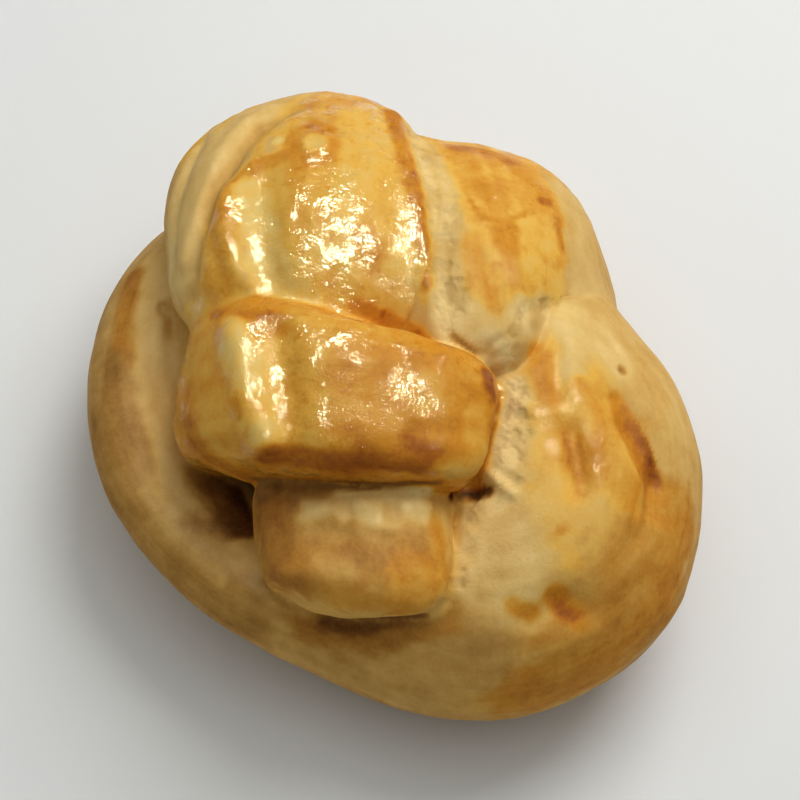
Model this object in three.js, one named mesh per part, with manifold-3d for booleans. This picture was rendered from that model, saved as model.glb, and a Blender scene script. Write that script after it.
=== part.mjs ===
// Challah knot: a roll of egg dough, one rope tied into a knot and baked on a flat tray.
// Millimetres, +Z up, seen from the front along +Y, resting on the plane z = 0.
import * as THREE from 'three';
import { mergeVertices } from 'three/addons/utils/BufferGeometryUtils.js';
import Module from 'manifold-3d';

const wasm = await Module();
wasm.setup();

// Driving dimensions of the baked roll
const KNOT_WIDTH = 91;
const KNOT_DEPTH = 98;
const KNOT_HEIGHT = 52;

// The dough swells away from this point, so every strand's top faces away from it
const SWELL_CENTRE = new THREE.Vector3( 0, 0, - 10 );

// A strand that rests on the tray has its underside pressed this far below the tray's plane,
// where the trim leaves a flat base
const PRESS_DEPTH = 1.5;

// Fineness of the lofts
const ARC_DIVISIONS = 400;
const STATION_STEP = 3;
const SIDE_STEP = 2.8;
const END_STATIONS = 4;

// The rope's stretches as they show in the baked knot. A station is
// [ x, y, z, half width, half height ] of the strand there. Squareness is the power of the
// section's superellipse: 2 is an ellipse, and more is boxier. Ends are [ length, power ] of the
// rounding at the strand's start and finish. Marks are the folds, ridges and torn dents in its
// skin: a mark runs from point to point, and is raised, or sunk where its height is negative.
const STRANDS = {

	// the hidden middle, which the outer stretches are baked onto
	core: {
		stations: [
			[ 8, - 20, 12, 14, 14 ], [ 3, 2, 18, 20, 20 ], [ - 1, 18, 20, 26, 20 ], [ - 2, 32, 18, 24, 20 ],
		],
	},
	base: {
		stations: [
			[ 7, - 35, 4, 20, 7 ], [ 2, - 12, 4, 25, 7 ], [ - 2, 12, 4, 25, 7 ], [ - 4, 36, 4, 22, 7 ],
		],
	},
	shoulder: {
		stations: [ [ - 2, - 2, 14, 12, 12 ], [ - 19, 7, 17, 13, 14 ], [ - 30, 18, 14, 12, 12 ] ],
	},
	flank: {
		stations: [
			[ 14, 6, 34, 8, 8 ], [ 20.5, 14.5, 27, 10.5, 10.5 ], [ 22.5, 16.5, 12, 11, 11 ],
			[ 21.5, 16.5, - 6, 11, 11 ],
		],
	},
	heart: {
		stations: [
			[ 27, 6, 26, 10, 10 ], [ 18, 2.5, 29.5, 10, 11 ], [ 14, - 9, 27, 9, 10 ],
			[ 12, - 21, 24, 9, 10 ], [ 9, - 34, 18, 9, 9 ],
		],
	},

	// the ring: left side, front, and the big lobe on the right
	ring: {
		rests: true,
		squareness: 2.3,
		stations: [
			[ - 20, 29, 13, 11, 13 ], [ - 29, 21, 14, 12, 14 ], [ - 33.5, 8, 14, 10, 14.5 ],
			[ - 31.6, - 7.3, 13.5, 7.5, 14.5 ], [ - 22, - 20.6, 13.5, 7.5, 14 ], [ - 3.5, - 28, 14, 12.5, 14.5 ],
			[ 12, - 29, 17, 16.5, 18 ], [ 22, - 21.5, 19, 19, 20 ], [ 23, - 9, 19.5, 19, 21.5 ],
			[ 19.5, 2.5, 20, 16.5, 19 ], [ 14, 14, 18, 12, 15 ],
		],
		marks: [
			{ height: - 1.3, width: 2.6, run: [ [ 31, - 8, 39 ], [ 36.5, - 20.5, 34 ] ] },
			{ height: - 0.9, width: 2.2, run: [ [ 23.5, - 13, 41 ], [ 25, - 21, 40 ] ] },
			{ height: - 1, width: 2.4, run: [ [ 18.5, - 38, 33 ], [ 19.5, - 37.5, 33 ] ] },
			{ height: - 1, width: 2.4, run: [ [ 22.5, - 35.5, 34.5 ], [ 25.5, - 36.5, 33 ] ] },
		],
	},

	// the two lobes that climb the back side by side
	backLobe: {
		squareness: 2.2,
		stations: [
			[ - 14, 34, - 6, 17, 11 ], [ - 15, 36, 6, 18.5, 12 ], [ - 15.5, 37, 21, 18.3, 13 ],
			[ - 15.5, 30.5, 32.5, 19.7, 13.5 ], [ - 13.5, 14, 38, 21, 13 ], [ - 11.5, - 2, 36, 21, 12 ],
		],
		marks: [
			{ height: - 1.1, width: 2.4, run: [ [ - 17, 38.5, 43 ], [ - 25.5, 27, 45.3 ], [ - 30.5, 9, 41 ] ] },
			{ height: - 0.9, width: 2.2, run: [ [ - 24, 42, 32 ], [ - 30.5, 33, 39 ], [ - 33.5, 16, 38 ] ] },
			{ height: - 0.8, width: 3.4, run: [ [ - 19.5, 24, 48.5 ], [ - 19, 7, 47.5 ] ] },
			{ height: 0.9, width: 2, run: [ [ - 1, 38.5, 41 ], [ 4, 16.5, 47 ], [ 6, 2, 43 ] ] },
		],
	},
	sideLobe: {
		squareness: 2.2,
		ends: [ null, [ 6, 2.6 ] ],
		stations: [
			[ 11, 26, - 6, 17, 12 ], [ 11.5, 28, 6, 18, 12.5 ], [ 11.3, 28.6, 20, 17.5, 13 ],
			[ 11.7, 24.2, 30.5, 15.8, 13 ], [ 11, 11.5, 37.6, 11, 11 ], [ 9.8, - 3.5, 37.4, 8.5, 8.4 ],
		],
	},

	// the strap across the middle, and the end that comes out under it
	band: {
		squareness: 3.8,
		ends: [ [ 6, 3 ], [ 5, 3.4 ] ],
		stations: [
			[ - 20.5, - 2, 20, 9, 8 ], [ - 23.3, - 3.6, 31.5, 12.6, 9 ], [ - 18.5, - 5.8, 39, 12.4, 9 ],
			[ - 8, - 9.1, 42, 11, 9 ], [ 3, - 11, 40.5, 10.2, 9 ], [ 10.5, - 12, 36.5, 9, 8 ],
		],
		marks: [
			{ height: 0.9, width: 2.8, run: [ [ - 24, 1, 46 ], [ - 22, - 11.5, 47 ], [ - 19.5, - 18, 46 ] ] },
			{ height: - 0.9, width: 2.4, run: [ [ - 17.5, - 2, 49.5 ], [ - 15.5, - 19.5, 47 ] ] },
			{ height: - 2.4, width: 7, run: [ [ - 32, - 18, 34 ], [ - 30, - 17, 22 ] ] },
		],
	},
	tongue: {
		squareness: 2.8,
		ends: [ [ 6, 2 ], [ 6.5, 3 ] ],
		stations: [
			[ - 6.8, - 12, 27.5, 14.5, 9 ], [ - 6.2, - 23, 29.6, 14.5, 9.2 ],
			[ - 4.9, - 31.2, 30.3, 13.3, 8.8 ], [ - 5.6, - 36.7, 29.6, 12.8, 8.2 ],
		],
	},

};

// One strand as a closed mesh: rings of points along a smooth curve, with a point at each end
function strandGeometry( strand ) {

	const places = strand.stations.map( ( [ x, y, z ] ) => new THREE.Vector3( x, y, z ) );
	const girths = strand.stations.map( ( [ , , , a, b ] ) => new THREE.Vector3( a, b, 0 ) );
	const path = new THREE.CatmullRomCurve3( places, false, 'catmullrom', 0.5 );
	const girth = new THREE.CatmullRomCurve3( girths, false, 'catmullrom', 0.5 );
	path.arcLengthDivisions = ARC_DIVISIONS;

	const length = path.getLength();
	const widest = Math.max( ...girths.map( ( g ) => g.x ) );
	const rings = Math.ceil( length / STATION_STEP ) + END_STATIONS;
	const sides = 2 * Math.ceil( Math.PI * widest / SIDE_STEP );
	const [ start, finish ] = endRoundings( strand, girths );

	const points = [ path.getPoint( 0 ) ];
	for ( let i = 1; i < rings; i ++ ) {

		const along = ( 1 - Math.cos( Math.PI * i / rings ) ) / 2;
		const t = path.getUtoTmapping( along );
		const grown = Math.min( rounding( along * length, start ), rounding( ( 1 - along ) * length, finish ) );
		points.push( ...sectionPoints( path, girth, t, grown, sides, strand ) );

	}

	points.push( path.getPoint( 1 ) );

	const geometry = new THREE.BufferGeometry().setFromPoints( points );
	geometry.setIndex( loftIndex( rings - 1, sides ) );
	return geometry;

}

// Length and power of the rounding at each end; by default half as long as the end is wide
function endRoundings( strand, girths ) {

	const [ start, finish ] = strand.ends ?? [ null, null ];
	return [ start ?? [ girths[ 0 ].x, 2 ], finish ?? [ girths.at( - 1 ).x, 2 ] ];

}

// How far a section has grown to its full size at a distance from the strand's end
function rounding( distance, [ reach, power ] ) {

	const left = Math.max( 0, 1 - distance / reach );
	return Math.pow( 1 - Math.pow( left, power ), 1 / power );

}

// The points round one section, its top facing away from the swell centre
function sectionPoints( path, girth, t, grown, sides, strand ) {

	const centre = path.getPoint( t );
	const size = girth.getPoint( t ).multiplyScalar( grown );
	const forward = path.getTangent( t );
	const up = centre.clone().sub( SWELL_CENTRE );
	up.addScaledVector( forward, - up.dot( forward ) ).normalize();
	const side = new THREE.Vector3().crossVectors( forward, up );
	const squareness = strand.squareness ?? 2;

	const points = [];
	for ( let j = 0; j < sides; j ++ ) {

		const angle = 2 * Math.PI * j / sides;
		const c = Math.cos( angle );
		const s = Math.sin( angle );
		const reach = Math.pow( Math.abs( c ) ** squareness + Math.abs( s ) ** squareness, - 1 / squareness );
		const point = centre.clone();
		point.addScaledVector( side, size.x * reach * c );
		point.addScaledVector( up, size.y * reach * s );
		points.push( point );

	}

	if ( strand.rests ) pressDown( points, centre.z );
	for ( const mark of strand.marks ?? [] ) points.forEach( ( point ) => applyMark( point, centre, mark ) );
	return points;

}

// Stretches the lower half of a section down to the tray, as soft dough settles
function pressDown( points, middle ) {

	const lowest = Math.min( ...points.map( ( p ) => p.z ) );
	if ( lowest < - PRESS_DEPTH || lowest >= middle ) return;
	const stretch = ( middle + PRESS_DEPTH ) / ( middle - lowest );
	for ( const point of points ) {

		if ( point.z < middle ) point.z = middle - ( middle - point.z ) * stretch;

	}

}

// Raises or sinks a point of the skin by what a mark does there
function applyMark( point, centre, { height, width, run } ) {

	const places = run.map( ( place ) => new THREE.Vector3( ...place ) );
	const nearest = new THREE.Vector3();
	let distance = Infinity;
	for ( let i = 1; i < places.length; i ++ ) {

		new THREE.Line3( places[ i - 1 ], places[ i ] ).closestPointToPoint( point, true, nearest );
		distance = Math.min( distance, nearest.distanceTo( point ) );

	}

	const outward = point.clone().sub( centre ).normalize();
	point.addScaledVector( outward, height * Math.exp( - ( ( distance / width ) ** 2 ) ) );

}

// Triangles of a loft whose first and last points close its ends
function loftIndex( rings, sides ) {

	const index = [];
	const last = rings * sides + 1;
	const at = ( ring, side ) => 1 + ring * sides + side % sides;
	for ( let j = 0; j < sides; j ++ ) {

		index.push( 0, at( 0, j ), at( 0, j + 1 ) );
		index.push( last, at( rings - 1, j + 1 ), at( rings - 1, j ) );
		for ( let i = 0; i < rings - 1; i ++ ) {

			index.push( at( i, j ), at( i + 1, j ), at( i, j + 1 ) );
			index.push( at( i, j + 1 ), at( i + 1, j ), at( i + 1, j + 1 ) );

		}

	}

	return index;

}

// A closed geometry as a solid that can be joined and cut
function toSolid( geometry ) {

	const bare = geometry.clone();
	bare.deleteAttribute( 'normal' );
	bare.deleteAttribute( 'uv' );
	const merged = mergeVertices( bare );
	const vertProperties = new Float32Array( merged.attributes.position.array );
	const triVerts = new Uint32Array( merged.index.array );
	return new wasm.Manifold( new wasm.Mesh( { numProp: 3, vertProperties, triVerts } ) );

}

// A joined solid back as a geometry, solid throughout: only its outer skin is kept
function toGeometry( solid ) {

	const mesh = solid.getMesh();
	const geometry = new THREE.BufferGeometry();
	const positions = new Float32Array( mesh.vertProperties );
	geometry.setAttribute( 'position', new THREE.BufferAttribute( positions, 3 ) );
	geometry.setIndex( outerSkin( mesh.triVerts, positions ) );
	return geometry;

}

// The triangles that can be reached, edge by edge, from the one at the top. The rest line the
// tiny hollows that the strands seal between them.
function outerSkin( triangles, positions ) {

	const corners = ( t ) => [ triangles[ 3 * t ], triangles[ 3 * t + 1 ], triangles[ 3 * t + 2 ] ];
	const owner = new Map();
	let top = 0;
	for ( let t = 0; t < triangles.length / 3; t ++ ) {

		const [ a, b, c ] = corners( t );
		owner.set( `${ a } ${ b }`, t ).set( `${ b } ${ c }`, t ).set( `${ c } ${ a }`, t );
		if ( positions[ 3 * a + 2 ] > positions[ 3 * triangles[ 3 * top ] + 2 ] ) top = t;

	}

	const reached = new Set( [ top ] );
	for ( const t of reached ) {

		const [ a, b, c ] = corners( t );
		reached.add( owner.get( `${ b } ${ a }` ) );
		reached.add( owner.get( `${ c } ${ b }` ) );
		reached.add( owner.get( `${ a } ${ c }` ) );

	}

	return [ ...reached ].flatMap( corners );

}

// Everything above the tray's plane
function aboveTray() {

	const room = 3 * Math.max( KNOT_WIDTH, KNOT_DEPTH );
	return toSolid( new THREE.BoxGeometry( room, room, room ).translate( 0, 0, room / 2 ) );

}

// Scales and moves a geometry so that it fills the driving dimensions, its base centred on the origin
function fitToSize( geometry ) {

	geometry.computeBoundingBox();
	const size = geometry.boundingBox.getSize( new THREE.Vector3() );
	const middle = geometry.boundingBox.getCenter( new THREE.Vector3() );
	geometry.translate( - middle.x, - middle.y, - geometry.boundingBox.min.z );
	geometry.scale( KNOT_WIDTH / size.x, KNOT_DEPTH / size.y, KNOT_HEIGHT / size.z );
	return geometry;

}

function challahKnot() {

	const dough = Object.values( STRANDS )
		.map( ( strand ) => toSolid( strandGeometry( strand ) ) )
		.reduce( ( joined, strand ) => joined.add( strand ) )
		.intersect( aboveTray() );
	const crust = new THREE.MeshStandardMaterial( { color: 0xc98a3c, roughness: 0.42, metalness: 0 } );
	const mesh = new THREE.Mesh( fitToSize( toGeometry( dough ) ), crust );
	mesh.name = 'challah_knot';
	return mesh;

}

const group = new THREE.Group();
group.add( challahKnot() );

export default group;
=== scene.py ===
import math

import bmesh
import bpy
import numpy as np
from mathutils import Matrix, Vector, noise
from mathutils.bvhtree import BVHTree


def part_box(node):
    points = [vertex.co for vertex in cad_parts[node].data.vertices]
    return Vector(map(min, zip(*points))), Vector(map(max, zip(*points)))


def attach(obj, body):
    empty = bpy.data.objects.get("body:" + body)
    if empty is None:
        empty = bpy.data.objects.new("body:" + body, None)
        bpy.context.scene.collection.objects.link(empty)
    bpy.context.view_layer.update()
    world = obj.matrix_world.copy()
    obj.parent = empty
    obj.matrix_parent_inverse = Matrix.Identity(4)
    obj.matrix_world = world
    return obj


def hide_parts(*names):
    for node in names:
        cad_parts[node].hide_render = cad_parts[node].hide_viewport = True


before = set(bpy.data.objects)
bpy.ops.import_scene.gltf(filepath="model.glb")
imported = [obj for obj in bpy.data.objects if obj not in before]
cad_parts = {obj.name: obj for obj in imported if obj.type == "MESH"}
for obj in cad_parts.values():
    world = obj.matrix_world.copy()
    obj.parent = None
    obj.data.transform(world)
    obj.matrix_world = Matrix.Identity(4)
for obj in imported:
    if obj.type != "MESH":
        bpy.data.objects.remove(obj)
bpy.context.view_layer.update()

# The dough swells away from this point, so every strand's top faces away from it
SWELL_CENTRE = np.array([0.0, 0.0, -10.0])

# How far below the tray's plane a resting strand is pressed, before the trim
PRESS_DEPTH = 1.5

# Fineness of the lofts, and of the skin that is drawn over them
CURVE_DIVISIONS = 400
STATION_STEP = 1.0
SIDE_STEP = 1.1
SKIN_STEP = 0.6

# The power of a plain ellipse, for sections and ends that are given no other
ELLIPSE = 2

# The rope's stretches, as in the solid. A station is (x, y, z, half width, half height), ends are
# (length, power) of an end's rounding, and a mark is (height, width, points of its run).
STRANDS = {
    "core": {
        "stations": [(8, -20, 12, 14, 14), (3, 2, 18, 20, 20), (-1, 18, 20, 26, 20), (-2, 32, 18, 24, 20)],
    },
    "base": {
        "stations": [(7, -35, 4, 20, 7), (2, -12, 4, 25, 7), (-2, 12, 4, 25, 7), (-4, 36, 4, 22, 7)],
    },
    "shoulder": {
        "stations": [(-2, -2, 14, 12, 12), (-19, 7, 17, 13, 14), (-30, 18, 14, 12, 12)],
    },
    "flank": {
        "stations": [
            (14, 6, 34, 8, 8), (20.5, 14.5, 27, 10.5, 10.5), (22.5, 16.5, 12, 11, 11),
            (21.5, 16.5, -6, 11, 11),
        ],
    },
    "heart": {
        "stations": [
            (27, 6, 26, 10, 10), (18, 2.5, 29.5, 10, 11), (14, -9, 27, 9, 10),
            (12, -21, 24, 9, 10), (9, -34, 18, 9, 9),
        ],
    },
    "ring": {
        "rests": True,
        "squareness": 2.3,
        "stations": [
            (-20, 29, 13, 11, 13), (-29, 21, 14, 12, 14), (-33.5, 8, 14, 10, 14.5),
            (-31.6, -7.3, 13.5, 7.5, 14.5), (-22, -20.6, 13.5, 7.5, 14), (-3.5, -28, 14, 12.5, 14.5),
            (12, -29, 17, 16.5, 18), (22, -21.5, 19, 19, 20), (23, -9, 19.5, 19, 21.5),
            (19.5, 2.5, 20, 16.5, 19), (14, 14, 18, 12, 15),
        ],
        "marks": [
            (-1.3, 2.6, (31, -8, 39), (36.5, -20.5, 34)),
            (-0.9, 2.2, (23.5, -13, 41), (25, -21, 40)),
            (-1, 2.4, (18.5, -38, 33), (19.5, -37.5, 33)),
            (-1, 2.4, (22.5, -35.5, 34.5), (25.5, -36.5, 33)),
        ],
    },
    "backLobe": {
        "squareness": 2.2,
        "stations": [
            (-14, 34, -6, 17, 11), (-15, 36, 6, 18.5, 12), (-15.5, 37, 21, 18.3, 13),
            (-15.5, 30.5, 32.5, 19.7, 13.5), (-13.5, 14, 38, 21, 13), (-11.5, -2, 36, 21, 12),
        ],
        "marks": [
            (-1.1, 2.4, (-17, 38.5, 43), (-25.5, 27, 45.3), (-30.5, 9, 41)),
            (-0.9, 2.2, (-24, 42, 32), (-30.5, 33, 39), (-33.5, 16, 38)),
            (-0.8, 3.4, (-19.5, 24, 48.5), (-19, 7, 47.5)),
            (0.9, 2, (-1, 38.5, 41), (4, 16.5, 47), (6, 2, 43)),
        ],
    },
    "sideLobe": {
        "squareness": 2.2,
        "ends": [None, (6, 2.6)],
        "stations": [
            (11, 26, -6, 17, 12), (11.5, 28, 6, 18, 12.5), (11.3, 28.6, 20, 17.5, 13),
            (11.7, 24.2, 30.5, 15.8, 13), (11, 11.5, 37.6, 11, 11), (9.8, -3.5, 37.4, 8.5, 8.4),
        ],
    },
    "band": {
        "squareness": 3.8,
        "ends": [(6, 3), (5, 3.4)],
        "stations": [
            (-20.5, -2, 20, 9, 8), (-23.3, -3.6, 31.5, 12.6, 9), (-18.5, -5.8, 39, 12.4, 9),
            (-8, -9.1, 42, 11, 9), (3, -11, 40.5, 10.2, 9), (10.5, -12, 36.5, 9, 8),
        ],
        "marks": [
            (0.9, 2.8, (-24, 1, 46), (-22, -11.5, 47), (-19.5, -18, 46)),
            (-0.9, 2.4, (-17.5, -2, 49.5), (-15.5, -19.5, 47)),
            (-2.4, 7, (-32, -18, 34), (-30, -17, 22)),
        ],
    },
    "tongue": {
        "squareness": 2.8,
        "ends": [(6, 2), (6.5, 3)],
        "stations": [
            (-6.8, -12, 27.5, 14.5, 9), (-6.2, -23, 29.6, 14.5, 9.2),
            (-4.9, -31.2, 30.3, 13.3, 8.8), (-5.6, -36.7, 29.6, 12.8, 8.2),
        ],
    },
}

# How wide the crease between two strands is filled, in millimetres
CREASE_FILL = 2.5
CREASE_FILLS = {
    ("backLobe", "sideLobe"): 7,
    ("backLobe", "band"): 1.5,
    ("sideLobe", "band"): 2,
    ("ring", "band"): 1.5,
    ("ring", "tongue"): 0.8,
    ("tongue", "band"): 0.6,
    ("ring", "backLobe"): 2,
    ("flank", "sideLobe"): 9,
    ("flank", "ring"): 3,
    ("heart", "ring"): 8,
    ("heart", "tongue"): 2,
    ("heart", "sideLobe"): 2,
}

# The rounding between the sides and the flat base
BASE_EDGE = 3.0

# How far from a strand its skin still matters to another's
FIELD_REACH = 10.0

# Nearer to a strand's skin than this, the way out is the way that its face looks
SKIN_TOUCH = 0.3

# How the skin is moved onto the filled strands, and then evened out
SETTLE_ROUNDS = 2
SETTLE_STEP = 1.5
LEAST_STEEPNESS = 0.3
RELAX_ROUNDS = 3
RELAX_STRENGTH = 0.5

# Parts of the roll that a brush keeps to, each with the strands that show as it
PARTS = {
    "ring": ["ring", "heart", "shoulder", "base", "core"],
    "backLobe": ["backLobe"],
    "sideLobe": ["sideLobe", "flank"],
    "band": ["band"],
    "tongue": ["tongue"],
}

# How softly one part passes into the next, in millimetres
EDGE_SHARE = 0.8

# The dough's grain fades in over this width, and starts this far from a crease
GRAIN_FADE = 2.5
CREASE_MARGIN = 0.4

# Keeps the grains of two strands apart
GRAIN_SHIFT = 40.0

# Keeps the noises apart, and off the lattice where they are all nought
NOISE_SHIFT = np.array([17.3, 31.7, 11.9])

# Brings a noise up to about -1 to 1
NOISE_GAIN = 1.6

# How far each part has baked, and how much of the egg wash it took, before the strokes
FIRST_COAT = {
    "ring": (0.40, 0.0),
    "backLobe": (0.36, 0.0),
    "sideLobe": (0.36, 0.0),
    "band": (0.58, 1.0),
    "tongue": (0.40, 0.15),
}

# The crust is browner below one height, partly from the tray's heat and partly as painted shade on the
# lower walls, and evenly brown below another
LOW_HEIGHT = 22
LOW_BAKE_AND_SHADE = 0.2
UNDERSIDE_HEIGHT = 1.2
UNDERSIDE_BAKE = 0.62

# Views that strokes are drawn from, as azimuth and elevation in degrees, and where they aim
VIEWS = {"photo": (0, 64), "back": (180, 35), "left": (270, 30), "right": (90, 30)}
DOUGH_CENTRE = Vector((0, 0, 24))

# How the edges of strokes and tears stray. Layers of noise are (amount, size, seed), and a noise
# that is drawn out along the strands is (length, width, seed).
BRUSH_WOBBLE = [(0.55, 4, 3), (0.35, 1.8, 4)]
BRUSH_GRAIN = (11, 2, 7)
BRUSH_STREAKS = 0.45
TEAR_WOBBLE = [(1, 2.5, 5)]

# How much of its reach an edge strays by, the reach from which it strays in full, and how many
# reaches from its run a mark ends
EDGE_WOBBLE = 0.45
WOBBLE_REACH = 2.5
STROKE_END = 1.5

# Strokes paler than PATCHY_BAKE cover in patches, ever more so from one reach to the other
PATCH_COVER = 0.85
PATCH_NOISE = [(0.45, 3, 6)]
LEAST_COVER = 0.35
PATCHY_REACH = (0.9, 2.4)
PATCHY_BAKE = 0.6

# The skin's relief: lumps, blisters and swellings of the washed skin, ragged tears that sink by a
# depth, and streaks along the strands, which rise less where they are washed
LUMPS = [(0.30, 15, 10), (0.13, 6, 11)]
BLISTERS = [(0.10, 1.7, 12)]
SWELLINGS = [(0.11, 3.2, 16)]
RAGGED = [(0.16, 1.3, 14), (0.3, 2.6, 15)]
TEAR_DEPTH = 0.15
STREAK_GRAIN = (14, 2.2, 13)
STREAK_RISE = 0.09
WASHED_STREAK_RISE = 0.04

# The crust's colour by how far it has baked, with painted shade at its dark end, where it is washed with
# egg and where it is bare
WASHED_COLOURS = [
    (0.0, (240, 206, 130)), (0.2, (226, 192, 112)), (0.4, (228, 176, 76)), (0.6, (208, 138, 38)),
    (0.75, (174, 99, 27)), (0.9, (122, 59, 20)), (1.0, (50, 22, 10)),
]
PLAIN_COLOURS = [
    (0.0, (238, 209, 146)), (0.2, (222, 185, 114)), (0.4, (207, 162, 88)), (0.6, (174, 127, 60)),
    (0.75, (136, 91, 40)), (0.9, (90, 50, 20)), (1.0, (40, 20, 10)),
]

# The crust's noises as (scale, detail, roughness), and the span that most of a noise lies in
NOISES = {
    "clouds": (150, 2, 0.5), "mottle": (480, 3, 0.6), "specks": (1700, 2, 0.5),
    "speckles": (800, 2, 0.5), "streaks": (1, 2, 0.6), "crumbs": (300, 2, 0.6),
    "wet": (270, 3, 0.6), "pores": (1600, 3, 0.65), "blisters": (330, 4, 0.62),
}
NOISE_MIDDLE = (0.3, 0.7)

# How far the bake strays with some of them, and how the streaks are drawn out
CLOUD_SWING = 0.05
MOTTLE_SWING = 0.04
SPECK_SWING = 0.02
STREAK_SWING = 0.045
STREAK_SCALE = (0.05, 0.42, 1)

# What is stretched from one span over another: (low, high, new low, new high)
SPECKLES = (0.56, 0.72, 0.0, 0.1)
CRUMBS = (0.38, 0.52, 1.0, 0.0)
GLAZE = (0.3, 1.0, 0.0, 1.0)
WETNESS = (0.46, 0.55, 0.06, 1.0)
PLAIN_ROUGHNESS = (0.3, 0.7, 0.5, 0.62)
WASHED_ROUGHNESS = (0.3, 0.7, 0.4, 0.48)

# How fast the wash hides the bare colour, and the crumb that shows in the tears
WASH_COVER = 2.6
CRUMB_SHARE = 0.4
CRUMB_COLOUR = (174, 134, 74)

# Depths of the bumps, in metres
PORE_DEPTH = 0.00006
CRUMB_DEPTH = 0.00015
BLISTER_DEPTH = 0.0008

# What is the same all over the crust, and all over the paper
CRUST_SHADER = {
    "Coat Roughness": 0.06,
    "Coat IOR": 1.45,
    "Specular IOR Level": 0.04,
    "Subsurface Weight": 0.06,
    "Subsurface Radius": (1.0, 0.7, 0.45),
    "Subsurface Scale": 0.002,
}
PAPER_SHADER = {"Base Color": (0.79, 0.8, 0.83, 1), "Roughness": 0.9, "Specular IOR Level": 0.1}

# Brush strokes in the order that they are laid: (reach, bake, wash, points across and up); in some strokes
# the bake is painted shade
BACK_STROKES = [
    # the wash where it ran down the back, and the browner lower walls
    (9, 0.48, 0.9, (26, -10), (16, -12), (8, -14)),
    (8, 0.46, 0.22, (24, -20), (15, -22), (7, -22)),
    (7, 0.48, 0.7, (-8, -12), (-15, -13), (-22, -12)),
    (6.5, 0.44, 0.2, (-9, -22), (-16, -23), (-22, -21)),
    (2.4, 0.6, 0.9, (13, -12), (14, -17)),
    (2.2, 0.58, 0.9, (26, -13), (27, -19)),
    (2, 0.62, 0.9, (3, -13), (2, -18), (1, -22)),
    (2, 0.6, 0.7, (-16, -15), (-19, -16)),
    (1.8, 0.52, 0.25, (19, -26), (18.5, -33)),
    (1.6, 0.5, 0.25, (-12, -25), (-11.5, -31)),
    (6, 0.52, 0, (28, -38), (18, -41), (6, -40), (-6, -40), (-18, -38)),
    (3, 0.6, 0, (22, -43), (10, -44)),
    (2, 0.32, 0, (12, -33), (13, -38)),
]
LEFT_STROKES = [
    (5, 0.5, 0, (-38, -24), (-30, -27), (-18, -26)),
    (4, 0.54, 0, (-10, -28), (5, -29), (18, -28), (30, -27)),
    (2.4, 0.46, 0.2, (-14, -17), (-4, -19.5), (8, -20), (20, -19.5)),
]
RIGHT_STROKES = [
    (6.5, 0.54, 0, (-38, -24), (-25, -27), (-10, -28), (2, -26)),
    (5, 0.5, 0, (18, -27), (30, -26), (40, -24)),
    (1.8, 0.5, 0.2, (-12, -3), (-11.5, -10), (-12, -15)),
    (1.6, 0.44, 0.15, (-3, 0), (-2.5, -7)),
    (2.4, 0.46, 0.15, (22, 6), (23, -2), (23, -8)),
    (1.8, 0.46, 0.15, (32, 2), (34, -7), (34.5, -13)),
    (1.6, 0.58, 0, (11, -16), (13, -24)),
]
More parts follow.
